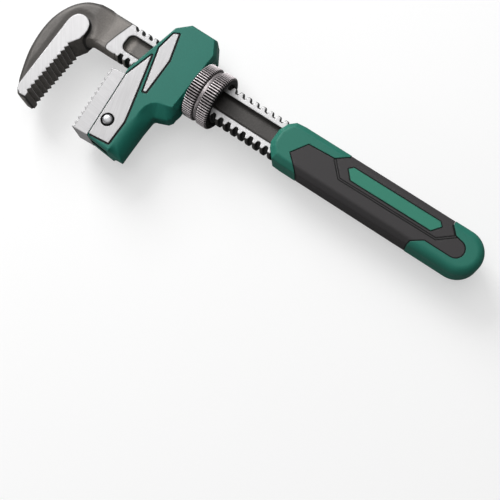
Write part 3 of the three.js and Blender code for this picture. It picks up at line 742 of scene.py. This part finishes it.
def jaw_housing():
    stock = Stock((-55.2, -59.8, -LAND_HALF), (-10.4, 28.6, LAND_HALF), 0.25)
    x, y, z = stock.x, stock.y, stock.z
    flat_x, flat_y = stock.flat
    outline = outline_distance(HOUSING, flat_x, flat_y)
    top = casting_face(flat_x, flat_y, outline)
    body = keep((np.abs(z) - top[:, :, None]) * 0.85, outline[:, :, None], 0.9)
    end_line = -y - ARM_END_BEVEL - ARM_END_LEAN * (x - JOINT_END[0])
    body = keep(body, (end_line + np.abs(z) - JAW_HALF) * 0.707, 0.2)

    heel = outline_distance(HEEL_LAND, flat_x, flat_y)
    side = outline_distance(SIDE_LAND, flat_x, flat_y)
    land = np.minimum(heel, side)
    trench = np.abs(land - 0.45) - 0.42
    trench = np.maximum(trench, 0.9 - beyond_joint(flat_x, flat_y))
    trench = keep(trench[:, :, None], JAW_HALF - 0.4 - np.abs(z))
    body = cut(body, trench, 0.1)
    body = join(body, plate(land, z, LAND_HALF, 0.15))

    radius = np.hypot(y, z)
    collar = keep(radius - NECK_RADIUS, np.abs(x + 14.4) - 3.8)
    collar = keep(collar, np.abs(z) - JAW_HALF, 0.4)
    ring_groove = keep(12.6 - radius, np.abs(x + 13.0) - 0.9)
    body = join(body, cut(collar, ring_groove), 0.4)
    window = keep(radius - CREST_RADIUS - 0.3, np.abs(z) - SHANK_HALF - 0.35, 0.2)
    body = cut(body, window + 0 * x, 0.3)
    recess = keep(np.abs(x + 33) - 11.3, np.abs(y - 9.25) - 4.25)
    body = cut(body, keep(recess, np.abs(z) - 2.9))
    body = cut(body, plate(outline_distance(MORTISE, flat_x, flat_y), z, MORTISE_HALF), 0.2)
    pin = np.hypot(x - PIN_AT[0], y - PIN_AT[1])
    body = cut(body, pin - PIN_HOLE_RADIUS + 0 * z, 0.15)
    body = cut(body, keep(pin - PIN_SEAT_RADIUS, LAND_HALF - 0.6 - np.abs(z)), 0.1)

    points, faces, convex = stock.skin(body)
    px, py, pz = points.T.astype(np.float32)
    tall = np.abs(pz)
    edge = np.minimum(outline_distance(HEEL_LAND, px, py), outline_distance(SIDE_LAND, px, py))
    bright = np.minimum(tall - LAND_HALF + 0.25, 0.15 - edge)
    round_pin = np.hypot(px - PIN_AT[0], py - PIN_AT[1])
    # Painted shade: a dark line in the trench round each land, except along the joint, and a dark
    # ring in the rivet's seat.
    line = (1 - ease(np.abs(edge - 0.5), 0.42, 0.65)) * (tall > JAW_HALF - 0.7)
    line = line * ((beyond_joint(px, py) > 0.9) | (py > -17.5))
    line = np.maximum(line, (1 - ease(round_pin, 3.85, 4.05)) * (tall > 8.4))
    # Painted shade over the inside of the mortise and of the window round the shank.
    shaded_inside = (outline_distance(MORTISE, px, py) < 0.1) & (tall < 3.4)
    shaded_inside |= (np.hypot(py, pz) < CREST_RADIUS + 0.4) & (tall < SHANK_HALF + 0.4)
    return make_piece("jaw_housing_casting", points, faces, "jaw", "jaw_housing",
                      "housing_paint", HOUSING_ENAMEL, land=bright, convex=convex,
                      shadow=np.clip(line + 0.92 * shaded_inside, 0, 1))


# ---- heel jaw insert and its rivet ------------------------------------------------------

INSERT_TEETH = saw_teeth((-62.4, -19.4), (-59.9, -59), 12, TOOTH_DEPTH, 0.45)
INSERT = [(JOINT_TOP[0] - 0.3, JOINT_TOP[1]), (-61.6, -18.4), *INSERT_TEETH,
          (JOINT_END[0] - 0.3, JOINT_END[1])]
INSERT_BACK = [(-60.7, -17), (-58.1, -57.5), (-58, -70), (-30, -70), (-30, -10), (-60.7, -10)]
TENON = [(-54, -23), (-49.4, -56), (-38.2, -56), (-38.2, -30), (-44, -23)]


def heel_jaw_insert():
    stock = Stock((-62.6, -59.2, -JAW_HALF), (-38, -17, JAW_HALF), 0.2)
    flat_x, flat_y = stock.flat
    head = plate(outline_distance(INSERT, flat_x, flat_y), stock.z, JAW_HALF, 0.15)
    tenon = plate(outline_distance(TENON, flat_x, flat_y), stock.z, TENON_HALF, 0.1)
    pin = np.hypot(stock.x - PIN_AT[0], stock.y - PIN_AT[1]) - PIN_HOLE_RADIUS
    points, faces, convex = stock.skin(cut(join(head, tenon), pin + 0 * stock.z))
    px, py, pz = points.T
    # Painted shade on the side that meets the housing, and lighter painted shade over the teeth.
    joint_side = (px > -53.4 + (py - JOINT_TOP[1]) * (-0.09)) & (np.abs(pz) < JAW_HALF - 0.3)
    bite = outline_distance(INSERT_BACK, px, py) > 0
    return make_piece("heel_jaw_insert_ground", points, faces, "jaw", "heel_jaw_insert",
                      "ground_steel", GROUND_STEEL, convex=convex,
                      shadow=0.8 * joint_side + 0.22 * bite)


def turned_rings(rings, spokes, axis):
    """Points and faces of rings that follow each other round an axis, closed end to end.
    Each ring is one place along the axis, or one for each spoke, and its radii."""
    turns = 2 * math.pi * np.arange(spokes) / spokes
    points = []
    for along, radius in rings:
        a, r = np.broadcast_to(along, spokes), np.broadcast_to(radius, spokes)
        p, q = r * np.cos(turns), r * np.sin(turns)
        points.append(np.stack((a, p, q) if axis == "X" else (p, q, a), axis=1))
    count = len(rings)
    here = np.arange(spokes)
    after = (here + 1) % spokes
    faces = []
    for i in range(count):
        row, below = i * spokes, ((i + 1) % count) * spokes
        faces += np.stack((row + here, row + after, below + after, below + here), 1).tolist()
    return np.concatenate(points), faces


def insert_pin():
    """A rivet with a low dome at each end. Its heads sit in the dished rings of the lands."""
    seat = LAND_HALF - 0.55
    profile = [(2.5, seat), (3.6, seat), (3.65, seat + 0.1), (2.95, seat + 0.15)]
    profile += [(2.85 * math.cos(a), LAND_HALF + 0.15 + 1.0 * math.sin(a))
                for a in np.linspace(0.0, math.pi / 2 - 0.02, 14)]
    upper = [(h, r) for r, h in profile]
    lower = [(-h, r) for h, r in reversed(upper)]
    rings = [*lower, (0.0, 2.5), *upper]
    points, faces = turned_rings(rings, PIN_SPOKES, "Z")
    last = PIN_SPOKES * (len(rings) - 1)
    faces = [f for f in faces if max(f) - min(f) < last]
    faces.append(list(range(PIN_SPOKES - 1, -1, -1)))
    faces.append(list(range(last, last + PIN_SPOKES)))
    points = points + np.array([*PIN_AT, 0])
    reach = np.hypot(points[:, 0] - PIN_AT[0], points[:, 1] - PIN_AT[1])
    # Painted shade on the flange round the dome.
    rim = ease(reach, 2.8, 2.9)
    return make_piece("insert_rivet", points, faces, "jaw", "insert_pin", "rivet_steel",
                      RIVET_STEEL, shadow=0.95 * rim)


# ---- adjusting nut ----------------------------------------------------------------------

KNURL_RIDGES = 64
KNURL_DEPTH = 0.7
KNURL_CHAMFER = ((0.0, 0.75), (0.35, 0.3), (0.6, 0.06))     # how far in, and how much lower
SPOKES = KNURL_RIDGES * 8
# The bore for the housing's neck, with the groove for the retaining ring.
NUT_BORE = ((-10.0, 11.9), (-10.0, 13.7), (-10.1, 13.8), (-12.1, 13.8), (-12.1, 15.0),
            (-13.9, 15.0), (-13.9, 13.8))


def adjusting_nut():
    """Two knurled bands with a plain band between them, bored and threaded."""
    turns = 2 * math.pi * np.arange(SPOKES) / SPOKES
    ridge = np.clip(0.5 + 1.3 * np.cos(KNURL_RIDGES * turns), 0, 1)
    # Painted shade in the knurl's grooves.
    groove = 0.9 * (1 - ridge)
    rings, worn, dark = [], [], []

    def ring(x, radius, wear=0.0, shade=0.0):
        rings.append((x, radius))
        worn.append(np.broadcast_to(wear, SPOKES))
        dark.append(np.broadcast_to(shade, SPOKES))

    def band(x0, x1):
        """A knurled band, chamfered at both ends."""
        knurl = NUT_RADIUS - KNURL_DEPTH + KNURL_DEPTH * ridge
        for inset, drop in KNURL_CHAMFER:
            ring(x0 + inset, np.minimum(knurl, NUT_RADIUS - drop), ridge * 0.8, groove)
        for x in np.linspace(x0 + 0.9, x1 - 0.9, 9):
            ring(x, knurl, ridge, groove)
        for inset, drop in reversed(KNURL_CHAMFER):
            ring(x1 - inset, np.minimum(knurl, NUT_RADIUS - drop), ridge * 0.8, groove)

    # Each ring's last value is painted shade: on the end faces, at the plain band's edges and in
    # the bore.
    front = -NUT_LENGTH
    ring(front + 0.3, 13.8, 0, 0.5)
    ring(front, 14.1, 0.1)
    ring(front, 15.2, 0.15)
    ring(front + 0.1, 15.4, 0.2)
    band(front + 0.35, -9.7)
    ring(-9.6, 15.0, 0, 0.7)
    for share in np.linspace(0, 1, 9):
        ring(-9.5 + 2.0 * share, 15.15 + 0.12 * math.sin(math.pi * share), 0.52)
    ring(-7.4, 15.0, 0, 0.7)
    band(-7.3, -0.35)
    ring(-0.1, 15.4, 0.25)
    ring(0, 15.2, 0.2, 0.3)
    ring(0, 13.0, 0.12, 0.55)
    ring(-0.1, 12.7, 0.12, 0.6)
    minor, major = ROOT_RADIUS + 0.8, CREST_RADIUS + 0.3
    ring(-1.3, major, 0, 0.6)
    for x in np.arange(-1.6, -9.9, -0.22):
        gap = thread_distance(x - THREAD_PITCH / 2, np.cos(turns), np.sin(turns))
        room = THREAD_PITCH / 2 - GROOVE_CREST_HALF + 0.3
        depth = 1 - ease(gap, room - 0.1, room + 0.5)
        ring(x, minor + (major - minor) * depth, 0, 0.7)
    for x, radius in NUT_BORE:
        ring(x, radius, 0, 0.8)
    points, faces = turned_rings(rings, SPOKES, "X")
    made = make_piece("adjusting_nut_knurled", points, faces, "nut", "adjusting_nut",
                      "nut_steel", NUT_GUNMETAL, worn=np.concatenate(worn),
                      shadow=np.concatenate(dark))
    made.data.set_sharp_from_angle(angle=math.radians(40))
    return made


# ---- grip -------------------------------------------------------------------------------

GRIP_END_CENTRE_X = 153.4
GRIP_HALF_WIDTH = 12.9
GRIP = [(48, 12.9), (42.5, 12.3), (38.8, 9), (36.5, 3.5), (36.5, -4.5), (38.2, -8),
        (42.5, -12.6), (48, -12.9), *arc((GRIP_END_CENTRE_X, 0), GRIP_HALF_WIDTH, -90, 90, 32)]
SLEEVE = [(60, -30), (60, -14.5), (49.5, -5), (55.5, 4.4), (71.7, 5.4), (78, 10.6), (78, 30),
          (143, 30), (143, 9.5), (147.2, 5), *arc((150.5, -1), 5.2, 90, -90, 16), (135, -6.2),
          (129, -10.5), (127.8, -15), (127.8, -30)]
INLAY = [(85.2, -0.5), (135, -0.2), (139, 5), (136.7, 7.2), (83, 7), (80.6, 4.6)]
PANEL_LINE = [(72.1, 5), (79.7, -2.9), (139.5, -2.3), (147.7, 4.6), (143.6, 9)]


def grip_stock():
    return Stock((36.4, -13, -GRIP_HALF), (166.5, 13, GRIP_HALF), 0.28)


def grip_body(stock):
    """The outside of the whole grip: bevelled along its length and round at its end."""
    flat = outline_distance(GRIP, *stock.flat)
    side, top = flat[:, :, None], np.abs(stock.z) - GRIP_HALF
    rounded = plate(flat, stock.z, GRIP_HALF, GRIP_EDGE)
    bevelled = keep(keep(side, top, 0.5), 0.72 * side + 0.694 * top + 2.3, 0.8)
    end = ease(stock.x, 122, 134)
    return rounded * end + bevelled * (1 - end)


def grip_sleeve():
    """The soft overmoulding, with a raised panel on each face."""
    stock = grip_stock()
    area = outline_distance(SLEEVE, *stock.flat)
    inlay = outline_distance(INLAY, *stock.flat)
    outside = grip_body(stock)
    sleeve = keep(outside + SLEEVE_SINK, area[:, :, None] + SEAM_GAP, 0.3)
    sleeve = cut(sleeve, outside + 2.0)
    sleeve = cut(sleeve, inlay[:, :, None] - SEAM_GAP + 0 * stock.z, 0.3)
    away = line_distance(PANEL_LINE, *stock.flat)
    scribed = np.abs(away - LINE_AWAY) - LINE_HALF
    deep = keep(scribed[:, :, None], -outside - SLEEVE_SINK - 0.35)
    sleeve = cut(sleeve, keep(deep, 5 - np.abs(stock.z)), 0.15)
    points, faces, convex = stock.skin(sleeve)
    px, py, pz = points.T.astype(np.float32)
    away = line_distance(PANEL_LINE, px, py)
    # Painted shade in the scribed line and along the seams.
    line = (1 - ease(np.abs(away - LINE_AWAY), 0.18, 0.42)) * (np.abs(pz) > 8)
    area = outline_distance(SLEEVE, px, py)
    inlay = outline_distance(INLAY, px, py)
    seam = 1 - ease(np.minimum(np.abs(area), np.abs(inlay)), 0.2, 0.5)
    return make_piece("grip_soft_sleeve", points, faces, "handle", "grip_sleeve", "grip_black",
                      GRIP_BLACK, convex=convex, shadow=np.clip(0.95 * line + 0.8 * seam, 0, 1))


def grip_core():
    """The hard shell: collar, end cap and the inlays that show through the sleeve."""
    stock = grip_stock()
    x, y, z = stock.x, stock.y, stock.z
    area = outline_distance(SLEEVE, *stock.flat)
    inlay = outline_distance(INLAY, *stock.flat)
    outside = grip_body(stock)
    bed = keep(area[:, :, None] - SEAM_GAP, -outside - 2.3)
    bed = cut(bed, inlay[:, :, None] + 0 * z)
    core = cut(outside, bed, 0.25)
    socket = keep(np.abs(x - 40) - 4.3, np.abs(y) - CREST_RADIUS - 0.3)
    socket = join(socket, keep(np.abs(x - 91.5) - 48.8, np.abs(y) - 9.3))
    core = cut(core, keep(socket, np.abs(z) - SHANK_HALF - 0.3), 0.2)
    points, faces, convex = stock.skin(core)
    px, py, pz = points.T.astype(np.float32)
    area = outline_distance(SLEEVE, px, py)
    inlay = outline_distance(INLAY, px, py)
    # Painted shade along the seams and over the inside of the socket.
    seam = 1 - ease(np.minimum(np.abs(area), np.abs(inlay + 0.1)), 0.15, 0.45)
    shaded_inside = (np.abs(pz) < SHANK_HALF + 0.5) & (np.abs(py) < CREST_RADIUS + 0.5)
    shaded_inside &= outline_distance(GRIP, px, py) < -0.9
    return make_piece("grip_hard_shell", points, faces, "handle", "grip_core", "grip_green",
                      GRIP_GREEN, convex=convex, inlay=inlay < 0.2,
                      shadow=np.clip(0.85 * seam + 0.7 * shaded_inside, 0, 1))


# ---- making the pieces ------------------------------------------------------------------

FORGED_STEEL, HOUSING_ENAMEL, GROUND_STEEL = forged_steel(), housing_enamel(), ground_steel()
RIVET_STEEL, NUT_GUNMETAL, SPRING_STEEL = rivet_steel(), nut_gunmetal(), spring_steel()
GRIP_GREEN, GRIP_BLACK = grip_green(), grip_black()

hook_jaw()
jaw_housing()
heel_jaw_insert()
insert_pin()
adjusting_nut()
grip_core()
grip_sleeve()
for hidden_node in ("flat_spring", "nut_retaining_ring"):
    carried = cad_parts[hidden_node]
    carried.data.materials.clear()
    carried.data.materials.append(SPRING_STEEL)

# ---- floor, light and camera ------------------------------------------------------------

floor_mesh = bpy.data.meshes.new("floor")
floor_mesh.from_pydata([(-3, -3, 0), (3, -3, 0), (3, 3, 0), (-3, 3, 0)], [], [(0, 1, 2, 3)])
floor_finish, floor_tree, floor_shader = new_finish("floor_paper", Roughness=0.9)
paper = use(floor_tree, MOTTLE, Scale=8.0, Detail_scale=300.0, Detail_share=0.3)
white = use(floor_tree, SHADED, Color=(0.5, 0.5, 0.5, 1), Shade=paper["Shade"], Strength=0.02)
seen = floor_tree.nodes.new("ShaderNodeLightPath").outputs["Is Camera Ray"]
link(floor_tree, blend(floor_tree, seen, (0.3, 0.3, 0.3, 1), white["Color"]),
     floor_shader.inputs["Base Color"])
floor_shader.inputs["Emission Color"].default_value = (1, 1, 1, 1)
link(floor_tree, maths(floor_tree, "MULTIPLY", seen, 0.5),
     floor_shader.inputs["Emission Strength"])
floor_mesh.materials.append(floor_finish)
floor = bpy.data.objects.new("floor", floor_mesh)
bpy.context.scene.collection.objects.link(floor)


def softbox(name, place, aim, size, power):
    lamp = bpy.data.lights.new(name, "AREA")
    lamp.shape, lamp.size, lamp.energy = "SQUARE", size, power
    holder = bpy.data.objects.new(name, lamp)
    holder.location = place
    holder.rotation_euler = (Vector(aim) - Vector(place)).to_track_quat("-Z", "Y").to_euler()
    bpy.context.scene.collection.objects.link(holder)


softbox("key_light", (-1.0, 0.55, 0.75), (0, 0, 0), 0.7, 15.0)
softbox("top_light", (-0.4, 0.3, 1.45), (0, 0, 0), 1.8, 14.0)
softbox("fill_light", (-0.7, -1.1, 0.35), (0, 0, 0), 0.6, 2.6)
world = bpy.data.worlds.new("studio")
world.use_nodes = True
world.node_tree.nodes["Background"].inputs["Color"].default_value = (1, 1, 1, 1)
sky = world.node_tree
glance = sky.nodes.new("ShaderNodeLightPath").outputs["Is Camera Ray"]
link(sky, between(sky, glance, 0.12, 0.95), sky.nodes["Background"].inputs["Strength"])
bpy.context.scene.world = world
bpy.context.scene.view_settings.view_transform = "Standard"

camera = bpy.data.objects.new("camera", bpy.data.cameras.new("camera"))
camera.data.sensor_width, camera.data.lens = 36.0, 62.27
camera.data.clip_start, camera.data.clip_end = 0.01, 20.0
right = Vector((0.818186, 0.571654, -0.061499))
up = Vector((-0.545628, 0.805725, 0.230427))
back = right.cross(up)
turn = Matrix((right, up, back)).transposed()
camera.matrix_world = Matrix.Translation(
    Vector(DATUM) + Vector((145.138, -131.957, 451.490)) * MM) @ turn.to_4x4()
bpy.context.scene.collection.objects.link(camera)
bpy.context.scene.camera = camera
